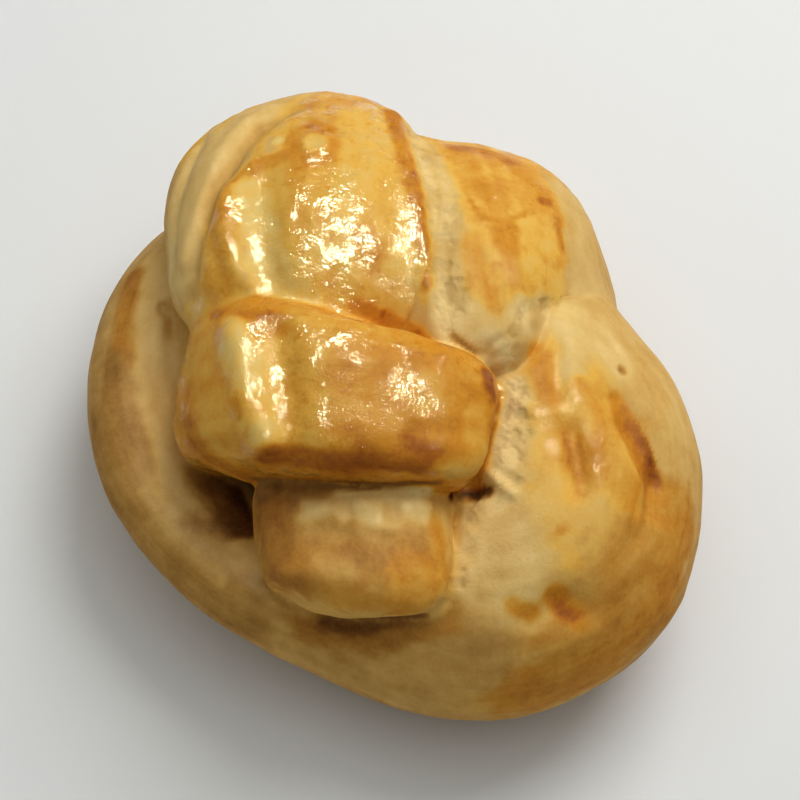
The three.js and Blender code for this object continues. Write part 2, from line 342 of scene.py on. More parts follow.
PHOTO_STROKES = [
    # the washed crown of the back lobe, and the ridge along its right
    (9, 0.46, 1, (-10, 44.5), (-11, 35.5), (-11, 24.5), (-11.5, 15.5)),
    (7, 0.46, 1, (-3.5, 40), (-3, 29), (-1, 19), (1, 12.5)),
    (3.5, 0.5, 1, (-22, 32), (-26, 25.5), (-27.5, 18)),
    (2.8, 0.5, 1, (-25.5, 29.5), (-27.5, 24.5), (-27.5, 19), (-26.5, 15.5)),
    (1.5, 0.6, 1, (-16.5, 36.5), (-21, 35), (-24, 32.5), (-26, 27.5)),
    (3.4, 0.54, 1, (-14, 44), (-9, 44), (-7.5, 41)),
    (1.9, 0.48, 1, (-15, 34.5), (-16, 30), (-16.5, 25.5), (-16, 22.5)),
    (1.8, 0.58, 1, (-16, 38.5), (-13, 40.5), (-9, 38.5), (-9.5, 35), (-14, 35.5), (-16, 38.5)),
    (3.6, 0.32, 1, (-5, 42), (-4.5, 36.5), (-6.5, 33.5)),
    (1.4, 0.66, 1, (-1.5, 42.5), (0.5, 36.5), (2, 31.5), (3, 25.5), (4, 19), (5, 12.5), (6, 8.5)),
    (1.8, 0.6, 1, (-5, 24.5), (-4, 21)),
    (2.6, 0.32, 1, (1, 20.5), (2.5, 15.5), (-0.5, 12.5)),
    (1.2, 0.66, 1, (-6.5, 14), (-2, 12), (3.5, 9.5), (7, 8)),
    # its pale hollow, the two pale spots, and the bare streaked flank
    (2.8, 0.22, 0.9, (-22, 31.5), (-21, 25.5), (-20, 20.5)),
    (3, 0.26, 0.9, (-18.5, 18.5), (-14, 15)),
    (1.9, 0.2, 0.9, (-12.5, 38)),
    (0.9, 0.12, 0.9, (-18, 38.5)),
    (3.2, 0.26, 0, (-14, 45.5), (-20.5, 43), (-26, 39.5), (-29.5, 33.5), (-32.5, 26.5), (-33.5, 18)),
    (1.7, 0.2, 0, (-19.5, 42.5), (-24.5, 38.5), (-27.5, 33.5), (-30, 27.5), (-31.5, 21), (-33, 15.5)),
    (1.2, 0.46, 0, (-15, 43), (-20.5, 40.5), (-24, 36), (-27, 32), (-28.5, 27)),
    (1.8, 0.16, 0, (-27.5, 39.5), (-31, 34.5), (-33, 29.5), (-34, 23.5), (-34, 19)),
    # the side lobe: washed top, torn edge, pale end and bare flank
    (5.5, 0.5, 0.6, (12, 34.5), (14.5, 28), (17, 21), (17.5, 16.5)),
    (4.5, 0.52, 0.6, (10.5, 36.5), (17, 34), (20.5, 29.5), (21.5, 23), (21, 17)),
    (2.2, 0.66, 0.6, (9, 37.5), (13, 37), (17, 35)),
    (2.2, 0.58, 0.6, (18.5, 34), (21.5, 31), (23, 27)),
    (0.8, 0.74, 0.6, (21, 29.5), (23, 29)),
    (0.6, 0.62, 0.6, (23, 29), (23.5, 25.5), (24, 22.5)),
    (2.6, 0.38, 0.5, (18.5, 25.5), (21.5, 23.5)),
    (2.2, 0.36, 0.5, (19.5, 19), (23, 16.5)),
    (1.5, 0.62, 0.8, (15, 25), (16, 22.5)),
    (1.8, 0.54, 0.85, (12, 32), (14.5, 30)),
    (1.6, 0.5, 0.85, (17, 19), (18.5, 16.5)),
    (0.5, 0.6, 0.6, (10.5, 29.5), (12, 27), (15.5, 26.5)),
    (0.5, 0.58, 0.6, (17, 27), (20, 28)),
    (1.6, 0.6, 0.6, (16.5, 25.5), (15.5, 23)),
    (2.2, 0.54, 0.42, (10.5, 23), (11, 19), (12, 15.5)),
    (1.4, 0.58, 0.4, (14.5, 15.5), (15.5, 12), (15, 9.5)),
    (3.4, 0.1, 0, (6.5, 13.5), (9.5, 10.5), (12, 9)),
    (1.6, 0.3, 0, (8.5, 13.5), (11, 11.5)),
    (2.2, 0.12, 0, (2.5, 39.5), (4.5, 35.5), (6, 30), (7, 23.5), (7, 18), (7.5, 12.5)),
    (4.2, 0.24, 0, (25, 30), (27, 24.5), (28.5, 19), (27.5, 15.5)),
    (1.4, 0.4, 0, (30, 20.5), (31.5, 16.5)),
    (2, 0.06, 0, (8, 9), (10.5, 8), (13.5, 8.5)),
    # painted shade in the crease between the side lobe's end and the band
    (0.6, 0.66, 0, (8, 9.5), (10.5, 7.5), (13, 6.5)),
    # the big lobe of the ring: pale top, amber wash, and its two scars
    (7.5, 0.34, 0, (30, 12.5), (36, 6), (40.5, -1.5), (42, -10), (42.5, -18.5)),
    (4, 0.16, 0, (24, 12.5), (29, 10), (31.5, 6)),
    (7, 0.48, 0.58, (24, -0.5), (28, -7), (29.5, -14.5), (28, -21)),
    (4, 0.46, 0.58, (21.5, 6), (22.5, -0.5), (22.5, -7), (23, -13.5)),
    (3.2, 0.1, 0, (17.5, 12), (21, 12)),
    (1.8, 0.62, 0.4, (20.5, 7), (21, 4), (22, 0.5)),
    (2, 0.16, 0.1, (25, 11.5), (26, 7), (25.5, 3.5)),
    (1.6, 0.56, 0.6, (26.5, 2), (29, -0.5), (31.5, -3.5)),
    (3.2, 0.56, 0.6, (30.5, -7), (34, -14), (33.5, -19)),
    (1.3, 0.6, 0.4, (32, 0), (33.5, -3.5)),
    (1.9, 0.66, 0.4, (33, -2.5), (35, -7), (37.5, -12.5), (38.5, -14.5)),
    (1.2, 0.74, 0.4, (34.5, -4), (36.5, -8.5), (38, -12.5)),
    (0.7, 0.82, 0.4, (36, -6), (37.5, -9.5), (38.5, -13.5)),
    (1.8, 0.54, 0.4, (25.5, -4.5), (26, -9), (27, -13)),
    (0.6, 0.66, 0.4, (24.5, -5), (25.5, -9.5), (27, -13.5)),
    (0.5, 0.62, 0.4, (26.5, -5.5), (27, -10), (27.5, -13.5)),
    (0.8, 0.62, 0, (33, 4.5)),
    (3, 0.38, 0.3, (21.5, -13.5), (23, -17), (25.5, -20.5)),
    (0.8, 0.6, 0.6, (24, -19)),
    (0.8, 0.54, 0.7, (28.5, -10), (29.5, -12)),
    (0.8, 0.54, 0.7, (22.5, 5), (23, 3)),
    (3.4, 0.38, 0.25, (29, -17), (31.5, -20)),
    (5, 0.46, 0.15, (30, -26.5), (26, -30)),
    # its lower right, baked browner, and the pale dough below the seam
    (8, 0.62, 0.28, (40, -22), (36.5, -31), (29, -38.5), (18.5, -43)),
    (5, 0.54, 0.2, (34, -23), (30.5, -32), (22.5, -36.5)),
    (6, 0.22, 0, (12, -18.5), (16, -23.5), (17.5, -28)),
    # the front lower wall, browner partly from the bake and partly as painted shade
    (5.5, 0.47, 0, (-10, -39.5), (1.5, -40.5), (12, -38.5)),
    (1.5, 0.6, 0.35, (17, -30.5), (19.5, -31.5)),
    (1.9, 0.66, 0.4, (23, -29), (24.5, -31), (26.5, -32.5)),
    (0.9, 0.76, 0.4, (24, -31), (26, -32)),
    # the torn seam beside the band, and the crumbs of dough at the crossing
    (2.6, 0.08, 0, (14.5, 6), (17, 0.5), (17, -5.5), (16, -10.5)),
    (2.2, 0.14, 0, (15, -13.5), (12, -17), (10, -22), (9.5, -27)),
    # the band: pale fold, amber right half, browned lower edge
    (4.5, 0.47, 0.4, (-29.5, 9), (-29, 1), (-27.5, -5.5)),
    (1.6, 0.36, 1, (-31, 12.5), (-29, 13.5)),
    (0.8, 0.68, 1, (-27.5, 12.5), (-22.5, 12.5), (-17.5, 12.5)),
    (2.6, 0.22, 0.85, (-24.5, 9.5), (-22.5, 4), (-20.5, -1.5), (-19.5, -6)),
    (4, 0.42, 1, (-15.5, 7.5), (-14, 1), (-13.5, -3.5)),
    (3, 0.48, 1, (-14, 11), (-9, 11.5), (-5, 10)),
    (5, 0.6, 0.5, (-3.5, 3.5), (1.5, 2.5), (6.5, 0.5)),
    (3.5, 0.56, 0.55, (-8, -3), (-1, -3.5)),
    (2.7, 0.5, 1, (1.5, 3), (4, 0.5)),
    (1.3, 0.84, 1, (13, 4), (13.5, 1)),
    (2.6, 0.62, 0.5, (11, -0.5), (9.5, -5.5), (8, -7.5)),
    (2.2, 0.64, 0.42, (3, -5.5), (6.5, -6)),
    (2.2, 0.77, 0.5, (-19.5, -9), (-13, -9), (-5, -9), (3.5, -9)),
    (2, 0.44, 0.4, (11.5, -3), (12, -8.5)),
    (1.3, 0.48, 0.2, (7.5, -11), (11, -10.5)),
    (2.4, 0.68, 0.35, (-31.5, -4), (-27.5, -9), (-23, -11.5)),
    # the tongue: pale back, orange lip, a body darkened partly as painted shade, and painted shade on its
    # left under the band
    (5.5, 0.64, 0.14, (-14, -22.5), (-5, -23.5), (1.5, -25)),
    (4, 0.52, 0.08, (-13.5, -17.5), (-5, -17.5), (3.5, -17.5)),
    (2.2, 0.24, 0, (-11, -15.5), (-5, -14.5), (1.5, -15)),
    (1.6, 0.14, 0, (-14, -16.5), (-11.5, -16)),
    (1.5, 0.14, 0, (-6.5, -16), (-3.5, -17.5)),
    (1.5, 0.16, 0, (1, -15.5), (3.5, -17)),
    (1.2, 0.34, 0, (-9, -15.5), (-8, -17)),
    (1.2, 0.36, 0, (-1.5, -16), (-1, -18)),
    (0.9, 0.12, 0, (-9, -13.5), (-2.5, -13.5), (4, -13.5)),
    (1.8, 0.52, 0.1, (-11.5, -23.5), (-8, -25.5)),
    # painted shade on the tongue's left, under the band and turned from the light
    (4.4, 0.67, 0.14, (-20, -16.5), (-19.5, -21), (-18.5, -24.5)),
    (1.8, 0.7, 0, (-21, -13.5), (-19.5, -13.5)),
    (3.5, 0.54, 0.35, (1, -25.5), (4, -26.5)),
    (1.4, 0.5, 0.3, (5.5, -18), (6, -20.5)),
    (1.3, 0.58, 0.3, (5.5, -19), (6, -23)),
    (2.2, 0.58, 0.3, (-9, -29.5), (-2.5, -30.5), (4, -29)),
    # the ring's left: orange outside, pale within, its lower outer wall and the dough below the cavity
    # darker partly as painted shade
    (3.5, 0.27, 0,
     (-36.5, 19), (-35.5, 11.5), (-35.5, 2.5), (-34, -5.5), (-31, -14.5), (-26, -22.5), (-19.5, -30)),
    # the dough below the cavity, darker partly as painted shade
    (3, 0.54, 0, (-31, -19), (-26, -25.5), (-20.5, -31)),
    (1.9, 0.64, 0.2, (-39.5, 18), (-41, 12.5), (-41, 6)),
    (2.6, 0.62, 0, (-42.5, 5), (-42.5, -2.5), (-40.5, -9.5)),
    # the lower outer wall, browner and partly darkened as painted shade
    (4.5, 0.6, 0, (-43.5, -4), (-39, -17), (-31, -26.5), (-23, -32)),
    (1.2, 0.44, 0, (-37.5, -13.5), (-32.5, -21), (-26.5, -26.5)),
    # painted shade: the dark of the cavity, of the gaps under the band and the tongue, of the small hole
    # where they meet the ring, and of the crease at the tongue's left, where shadow falls
    (3, 0.66, 0, (-29, -11.5), (-27, -15), (-24, -19)),
    (2.3, 0.82, 0, (-27, -13), (-25.5, -15.5), (-24, -19)),
    (1.9, 0.9, 0, (-24.5, -14), (-23.5, -16.5), (-23, -19.5)),
    (2, 0.66, 0, (-20.5, -12.5), (-16, -12.5), (-11.5, -13)),
    (1, 0.74, 0, (-21, -12), (-15.5, -12.5), (-7.5, -12.5), (0, -12.5), (5.5, -12.5)),
    (1, 0.92, 0, (7.5, -14), (10.5, -13.5), (13, -13.5)),
    (2.8, 0.65, 0.12, (-13.5, -33), (-6.5, -34.5), (0, -34.5), (6.5, -32)),
    (1.5, 0.8, 0, (-11, -33), (-7, -33.5), (-1, -33), (2.5, -32.5)),
    (0.6, 0.56, 0, (-21, -21.5), (-20, -26.5), (-17.5, -30), (-14, -32)),
]
STROKES = {"back": BACK_STROKES, "left": LEFT_STROKES, "right": RIGHT_STROKES, "photo": PHOTO_STROKES}

# Where the skin tore open as it swelled: (reach, points)
TEARS = {
    "back": [
        (1.6, (-3.5, -8), (-2.5, -18), (-1.5, -26)),
        (0.7, (-1.5, -26), (-0.5, -34)),
    ],
    "photo": [
        (2.4, (2.5, 39.5), (4.5, 35.5), (6, 30), (7, 23.5), (7, 18), (7.5, 12.5)),
        (2.6, (15, 6), (17, 0.5), (17, -5.5), (16, -10.5)),
        (1.4, (14.5, -13.5), (11, -16.5), (9.5, -21), (9, -26.5), (8, -29)),
        (1, (17, 10), (18.5, 13.5), (23, 14)),
        (0.9, (-35, 14), (-33.5, 12)),
    ],
}

# Folds and dents in the skin: (width, rise, points)
RELIEF = {
    "back": [
        (1.4, -0.7, (-3.5, -10), (-2.5, -20), (-1.5, -30), (-0.5, -37)),
        (1.2, -0.4, (22, -20), (24, -30), (23, -37)),
        (1.4, 0.35, (14, -22), (15, -32), (14, -40)),
    ],
    "right": [
        (1.2, -0.4, (-30, -8), (-18, -10), (-6, -9)),
    ],
    "photo": [
        (1.5, -0.7, (-12, -33), (-6.5, -33.5), (0, -33), (6, -31)),
        (1.4, 0.5, (-12, -16.5), (-9, -16)),
        (1.2, 0.6, (-5.5, -15.5), (-3, -16)),
        (1.2, 0.5, (1, -15.5), (4, -16)),
        (0.9, 0.4, (3, -14), (4.5, -15.5)),
        (1.1, 0.4, (-3.5, -18), (-1, -19)),
        (1.1, -0.4, (-11.5, -19), (-8, -20)),
        (1, -0.5, (-8, -15.5), (-7.5, -17)),
        (1, -0.5, (-1, -15.5), (-1, -17.5)),
        (1.3, -0.4, (25.5, -5), (27, -12.5)),
        (1.5, -0.6, (33, -4), (35.5, -9), (37.5, -12.5)),
        (1.8, -0.4, (24, -30.5), (26, -32)),
        # folds, dents, scars and the pit where the band, the tongue and the ring meet
        (1.4, -0.7, (-15, 43), (-20.5, 40.5), (-24, 36), (-27, 32), (-29, 25.5), (-31, 19)),
        (1.2, -0.5, (-24.5, 43), (-29, 38), (-32, 31.5), (-33.5, 24.5)),
        (1.3, 0.5, (-19.5, 43), (-24.5, 39.5), (-27.5, 34), (-30, 27.5), (-32, 20.5)),
        (3, -0.7, (-21, 32), (-20.5, 25.5), (-19.5, 19)),
        (1.6, 0.6, (-25.5, 31), (-26, 25.5), (-24.5, 20.5), (-21, 16)),
        (1.6, 0.5, (-1, 42), (1.5, 34.5), (3, 25.5), (4.5, 16.5), (5.5, 10)),
        (1.3, -0.6, (2, 39.5), (4.5, 34), (5.5, 28), (6.5, 21), (7, 15.5)),
        (2.2, 0.8, (-24, 10), (-23, 5), (-22, -0.5), (-20, -6)),
        (2.6, -0.7, (-18, 10), (-16.5, 3.5), (-16, -3.5)),
        (1.8, 0.3, (31.5, -2.5), (34, -9), (35.5, -12.5)),
        (0.9, -0.5, (33, 4.5)),
        (1.5, -3, (10.5, -13.5)),
        (0.7, 0.7, (13.5, -11), (15, -12.5), (17, -14)),
        (1, -0.8, (-35, 13.5), (-33.5, 12.5), (-33.5, 10)),
        (1.2, -0.5, (-21, -21), (-20, -26.5), (-17, -30.5), (-14, -32.5)),
        (1.6, 0.5, (25, 12), (25.5, 6), (25.5, 1)),
        (1.4, -0.5, (23, 10), (23.5, 5), (24, 0.5)),
        (1, 0.45, (-12.5, 39.5), (-10.5, 38), (-12.5, 36), (-14.5, 38), (-12.5, 39.5)),
    ],
}

# The photograph's view: height of the eye, its distance, and the picture's width there, in metres
VIEW_ELEVATION = math.radians(64)
VIEW_DISTANCE = 0.38
VIEW_WIDTH = 0.118
VIEW_TARGET = Vector((0.0015, -0.0022, 0.024))
NEAREST_SEEN = 0.01
MM_PER_METRE = 1000

# Half the paper's width, and the light of the room
FLOOR_HALF = 1.5
ROOM_COLOUR = (0.97, 1.0, 0.94, 1)
ROOM_STRENGTH = 0.25

# The lamps that light the dough, and those that only gleam in the glaze: (place, size, power, colour)
SOFT_LAMPS = {
    "key": ((0.23, 0.31, 0.53), 0.44, 2.8, (1.0, 0.98, 0.94)),
    "fill": ((0.0, 0.05, 0.70), 0.8, 1.15, (0.98, 1.0, 0.96)),
}
GLEAMING_LAMPS = {
    "shine": ((-0.04, 0.17, 0.61), 0.26, 20, (1.0, 0.97, 0.62)),
    "glint": ((0.25, -0.01, 0.58), 0.034, 4.0, (1.0, 0.98, 0.58)),
    "sheen": ((0.20, 0.40, 0.48), 0.08, 0.8, (1.0, 0.97, 0.58)),
    "gleam": ((0.10, -0.10, 0.62), 0.12, 3.5, (1.0, 0.97, 0.58)),
}


# The shape of the dough

def add_object(name, data):
    """Puts a new object in the scene."""
    made = bpy.data.objects.new(name, data)
    bpy.context.scene.collection.objects.link(made)
    return made


def read_rows(items, name, width, kind=float):
    """A value of each of a mesh's items, one item to a row."""
    values = np.zeros(len(items) * width, kind)
    items.foreach_get(name, values)
    return values.reshape(-1, width)


def curve_points(stations, count):
    """Points on the Catmull-Rom curve through these stations."""
    known = np.array(stations, float)
    known = np.vstack([2 * known[0] - known[1], known, 2 * known[-1] - known[-2]])
    spans = len(known) - 3
    t = np.linspace(0, spans, count)
    first = np.minimum(t.astype(int), spans - 1)
    f = (t - first)[:, None]
    a, b, c, d = (known[first + k] for k in range(4))
    cubic = (3 * b - a - 3 * c + d) * f ** 3
    return 0.5 * (2 * b + (c - a) * f + (2 * a - 5 * b + 4 * c - d) * f ** 2 + cubic)


def rounding(distance, reach, power):
    """How far a section has grown to its full size at a distance from the strand's end."""
    left = np.clip(1 - distance / reach, 0, 1)
    return (1 - left ** power) ** (1 / power)


def unit(vectors):
    """The same directions, each one long."""
    return vectors / np.linalg.norm(vectors, axis=1)[:, None]


def run_distance(points, run):
    """Distance of each point from a run of straight stretches, or from a lone place."""
    places = np.array(run, float)
    nearest = np.linalg.norm(points - places[0], axis=1)
    for start, end in zip(places[:-1], places[1:]):
        step = end - start
        along = np.clip((points - start) @ step / (step @ step), 0, 1)
        nearest = np.minimum(nearest, np.linalg.norm(points - start - along[:, None] * step, axis=1))
    return nearest


def soft_line(points, run, width):
    """1 along a run, falling away to nought over about this width on each side."""
    return np.exp(-((run_distance(points, run) / width) ** 2))


class Loft:
    """One strand: rings of points along a smooth curve, with a point at each end."""

    def __init__(self, strand):
        fine = curve_points(strand["stations"], CURVE_DIVISIONS)
        steps = np.linalg.norm(np.diff(fine[:, :3], axis=0), axis=1)
        lengths = np.concatenate([[0], np.cumsum(steps)])
        self.length = lengths[-1]
        self.sides = 2 * math.ceil(math.pi * fine[:, 3].max() / SIDE_STEP)
        spans = math.ceil(self.length / STATION_STEP)
        self.along = self.length * (1 - np.cos(np.linspace(0, math.pi, spans + 1)[1:-1])) / 2
        self.set_rings(fine, lengths)
        self.points = self.skin(strand, fine)
        self.faces = self.quads()

    def set_rings(self, fine, lengths):
        """Each ring's middle and half sizes, and its ways forward, up and to the side."""
        def at_rings(values):
            return np.stack([np.interp(self.along, lengths, column) for column in values.T], 1)
        stations = at_rings(fine)
        self.middle = stations[:, :3]
        self.girth = stations[:, 3:]
        self.forward = unit(at_rings(np.gradient(fine[:, :3], axis=0)))
        outward = self.middle - SWELL_CENTRE
        self.up = unit(outward - (outward * self.forward).sum(1)[:, None] * self.forward)
        self.side = np.cross(self.forward, self.up)

    def skin(self, strand, fine):
        """The points of every ring, pressed down and marked, with the two tips."""
        start, finish = strand.get("ends", [None, None])
        start = start or (fine[0, 3], ELLIPSE)
        finish = finish or (fine[-1, 3], ELLIPSE)
        grown = np.minimum(rounding(self.along, *start), rounding(self.length - self.along, *finish))
        power = strand.get("squareness", ELLIPSE)
        angles = np.linspace(0, 2 * math.pi, self.sides, endpoint=False)
        c, s = np.cos(angles), np.sin(angles)
        reach = (np.abs(c) ** power + np.abs(s) ** power) ** (-1 / power)
        rings = []
        for i, centre in enumerate(self.middle):
            a, b = self.girth[i] * grown[i]
            ring = centre + np.outer(a * reach * c, self.side[i]) + np.outer(b * reach * s, self.up[i])
            if strand.get("rests"):
                press_down(ring, centre[2])
            for height, width, *run in strand.get("marks", []):
                ring = ring + height * soft_line(ring, run, width)[:, None] * unit(ring - centre)
            rings.append(ring)
        return np.vstack([fine[0, :3], *rings, fine[-1, :3]])

    def quads(self):
        """Faces between neighbouring rings, and fans at the ends, all facing out."""
        rings = len(self.middle)
        last = rings * self.sides + 1
        last_ring = last - self.sides
        faces = []
        for j in range(self.sides):
            k = (j + 1) % self.sides
            faces.append((0, 1 + j, 1 + k))
            for row in range(1, last_ring, self.sides):
                above = row + self.sides
                faces.append((row + j, above + j, above + k, row + k))
            faces.append((last, last_ring + k, last_ring + j))
        return faces

    def face_ring(self, face):
        """The ring that each face starts from."""
        rings = len(self.middle)
        return np.clip(face % (rings + 1) - 1, 0, rings - 1)


def press_down(ring, middle):
    """Stretches the lower half of a section down to the tray, as soft dough settles."""
    lowest = ring[:, 2].min()
    if lowest < -PRESS_DEPTH or lowest >= middle:
        return
    below = ring[:, 2] < middle
    ring[below, 2] = middle - (middle - ring[below, 2]) * (middle + PRESS_DEPTH) / (middle - lowest)


def trimmed_mesh(loft):
    """A strand's loft above the tray's plane, closed there, as a bmesh."""
    solid = bmesh.new()
    corners = [solid.verts.new(p) for p in loft.points]
    for face in loft.faces:
        solid.faces.new([corners[i] for i in face])
    everything = solid.verts[:] + solid.edges[:] + solid.faces[:]
    tray = {"plane_co": (0, 0, 0), "plane_no": (0, 0, -1)}
    bmesh.ops.bisect_plane(solid, geom=everything, clear_outer=True, **tray)
    rim = [edge for edge in solid.edges if edge.is_boundary]
    if rim:
        bmesh.ops.contextual_create(solid, geom=rim)
    return solid


def joined_skin(lofts):
    """One even skin over all the strands, before the creases are filled."""
    mesh = bpy.data.meshes.new("strands")
    together = bmesh.new()
    for loft in lofts.values():
        solid = trimmed_mesh(loft)
        solid.to_mesh(mesh)
        solid.free()
        together.from_mesh(mesh)
    together.to_mesh(mesh)
    together.free()
    strands = add_object("strands", mesh)
    remesh = strands.modifiers.new("skin", "REMESH")
    remesh.mode = "VOXEL"
    remesh.voxel_size = SKIN_STEP
    bpy.context.view_layer.update()
    evaluated = strands.evaluated_get(bpy.context.evaluated_depsgraph_get())
    skin = bpy.data.meshes.new_from_object(evaluated)
    bpy.data.objects.remove(strands)
    bpy.data.meshes.remove(mesh)
    return skin


class Field:
    """Distances from each strand's skin, and the blended skin that fills the creases between them."""

    def __init__(self, lofts):
        self.lofts = lofts
        self.names = list(lofts)
        self.trees = [BVHTree.FromPolygons(loft.points.tolist(), loft.faces) for loft in lofts.values()]
        count = len(self.names)
        self.fill = np.full((count, count), CREASE_FILL)
        for (a, b), width in CREASE_FILLS.items():
            i, j = self.names.index(a), self.names.index(b)
            self.fill[i, j] = self.fill[j, i] = width

    def distances(self, points):
        """Signed distance from every strand, the way that it grows, and the face it is from."""
        shape = (len(self.names), len(points))
        depth = np.full(shape, FIELD_REACH)
        away = np.zeros(shape + (3,))
        face = np.zeros(shape, int)
        for s, (loft, tree) in enumerate(zip(self.lofts.values(), self.trees)):
            low, high = loft.points.min(0) - FIELD_REACH, loft.points.max(0) + FIELD_REACH
            close = np.flatnonzero(((points > low) & (points < high)).all(1))
            for i, point in zip(close.tolist(), points[close].tolist()):
                hit, normal, index, distance = tree.find_nearest(point, FIELD_REACH)
                if hit is None:
                    continue
                gap = Vector(point) - hit
                outside = gap.dot(normal) >= 0
                depth[s, i] = distance if outside else -distance
                direction = normal if distance < SKIN_TOUCH else gap if outside else -gap
                away[s, i] = direction.normalized()
                face[s, i] = index
        return depth, away, face

    def blended(self, points):
        """The filled skin's distance and slope at each point, and every strand's own distance."""
        depth, away, face = self.distances(points)
        order = np.argsort(depth, axis=0)
        columns = np.arange(len(points))
        nearest = order[0]
        value, slope = depth[nearest, columns], away[nearest, columns]
        for other in order[1:]:
            fill = self.fill[nearest, other]
            value, slope = smooth_least(value, slope, depth[other, columns], away[other, columns], fill)
        floor_slope = np.tile([0.0, 0.0, 1.0], (len(points), 1))
        value, slope = smooth_least(-value, -slope, points[:, 2], floor_slope, BASE_EDGE)
        return -value, -slope, depth, face


def smooth_least(a, slope_a, b, slope_b, width):
    """The lesser of two distances, with the corner where they meet filled over a width."""
    share = np.clip(1 - np.abs(a - b) / width, 0, 1)
    first = a <= b
    value = np.where(first, a, b) - share ** 2 * width / 4
    weight = np.where(first, 1 - share / 2, share / 2)[:, None]
    return value, weight * slope_a + (1 - weight) * slope_b


def settle(points, field):
    """Moves points onto the filled skin."""
    for _ in range(SETTLE_ROUNDS):
        value, slope, _, _ = field.blended(points)
        steepness = np.maximum((slope ** 2).sum(1), LEAST_STEEPNESS)
        step = np.clip(value / steepness, -SETTLE_STEP, SETTLE_STEP)
        points = points - step[:, None] * slope
    return points


def relax(points, edges):
    """Evens out points along the skin's edges."""
    count = np.bincount(edges.ravel(), minlength=len(points))[:, None]
    for _ in range(RELAX_ROUNDS):
        total = np.zeros_like(points)
        for k in range(3):
            total[:, k] += np.bincount(edges[:, 0], points[edges[:, 1], k], len(points))
            total[:, k] += np.bincount(edges[:, 1], points[edges[:, 0], k], len(points))
        points = points + RELAX_STRENGTH * (total / count - points)
    return points


def set_mesh_points(mesh, points):
    """Puts a mesh's points at these places."""
    mesh.vertices.foreach_set("co", points.ravel().astype(np.float32))
    mesh.update()


def fit_to_frame(points):
    """Scales and moves the dough so that it fills the solid's box, and turns it into metres."""
    low, high = points.min(0), points.max(0)
    cad_low, cad_high = (np.array(corner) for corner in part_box("challah_knot"))
    return cad_low + (points - low) * (cad_high - cad_low) / (high - low)


class Dough:
    """The roll's skin while it is shaped and painted, in millimetres."""

    def __init__(self, field, mesh):
        self.field = field
        self.mesh = mesh
        edges = read_rows(mesh.edges, "vertices", 2, int)
        self.points = relax(settle(read_rows(mesh.vertices, "co", 3), field), edges)
        faces = [tuple(face.vertices) for face in mesh.polygons]
        self.uncarved = BVHTree.FromPolygons(self.points.tolist(), faces)
        self.measure()

    def measure(self):
        """Finds how far each point belongs to each part, how clear of creases it is, and its grain."""
        _, _, depth, face = self.field.blended(self.points)
        first, second = np.sort(depth, axis=0)[:2]
        self.clear = np.clip((second - first - CREASE_MARGIN) / GRAIN_FADE, 0, 1)
        rows = [[self.field.names.index(name) for name in members] for members in PARTS.values()]
        near = np.stack([depth[row].min(0) for row in rows])
        self.belongs = {
            part: np.clip(0.5 + (np.delete(near, k, 0).min(0) - near[k]) / EDGE_SHARE, 0, 1)
            for k, part in enumerate(PARTS)
        }
        self.grain = self.grain_coordinates(depth, face)

    def grain_coordinates(self, depth, face):
        """How far along and round its strand each point is, in millimetres."""
        grain = np.zeros((len(self.points), 3))
        owner = depth.argmin(0)
        for s, loft in enumerate(self.field.lofts.values()):
            mine = np.flatnonzero(owner == s)
            ring = loft.face_ring(face[s, mine])
            gap = self.points[mine] - loft.middle[ring]
            along = loft.along[ring] + (gap * loft.forward[ring]).sum(1)
            across = (gap * loft.side[ring]).sum(1)
            above = (gap * loft.up[ring]).sum(1)
            wide, high = loft.girth[ring].T
            turn = np.arctan2(above / high, across / wide)
            apart = np.full(len(mine), GRAIN_SHIFT * s)
            grain[mine] = np.stack([along, turn * (wide + high) / 2, apart], 1)
        return grain

    def normals(self):
        """The way out of the dough at each point."""
        set_mesh_points(self.mesh, self.points)
        return read_rows(self.mesh.vertex_normals, "vector", 3)


# Brushes, tears and relief

def noise_at(points, size, seed):
    """Smooth noise, from about -1 to 1, that swells and sinks over this size."""
    shifted = points / size + NOISE_SHIFT * (seed + 1)
    return np.array([noise.noise(place) for place in shifted.tolist()]) * NOISE_GAIN


def layered_noise(points, layers):
    """The sum of some noises, each given as (amount, size, seed)."""
    return sum(amount * noise_at(points, size, seed) for amount, size, seed in layers)


def drawn_noise(dough, length, width, seed):
    """Noise drawn out along the strands, which fades in the creases, where their grain breaks off."""
    return noise_at(dough.grain / np.array([length, width, 1.0]), 1, seed) * dough.clear


def seen_run(dough, view, run):
    """Places on the dough that lie under points of the picture from a view, in millimetres."""
    azimuth, elevation = (math.radians(angle) for angle in VIEWS[view])
    right = Vector((math.cos(azimuth), math.sin(azimuth), 0))
    flat = math.cos(elevation)
    back = Vector((math.sin(azimuth) * flat, -math.cos(azimuth) * flat, math.sin(elevation)))
    upward = back.cross(right)
    eye = DOUGH_CENTRE + back * VIEW_DISTANCE * MM_PER_METRE
    places = []
    for across, up in run:
        aim = DOUGH_CENTRE + right * across + upward * up
        hit = dough.uncarved.ray_cast(eye, (aim - eye).normalized())[0]
        if hit is not None:
            places.append(tuple(hit))
    return places


def parts_under(dough, places):
    """The parts of the roll that these places lie on."""
    nearest = [int(((dough.points - place) ** 2).sum(1).argmin()) for place in places]
    return {max(dough.belongs, key=lambda part: dough.belongs[part][i]) for i in nearest}


def stroke_mask(dough, view, run, reach, wobble):
    """Where a soft brush of this reach, drawn along a run, leaves its mark."""
    places = seen_run(dough, view, run)
    if not places:
        return np.zeros(len(dough.points))
    edge = reach * (1 + EDGE_WOBBLE * min(reach / WOBBLE_REACH, 1) * wobble)
    mask = np.clip(STROKE_END - run_distance(dough.points, places) / edge, 0, 1)
    mask = mask * mask * (3 - 2 * mask)
    return mask * np.max([dough.belongs[part] for part in parts_under(dough, places)], axis=0)


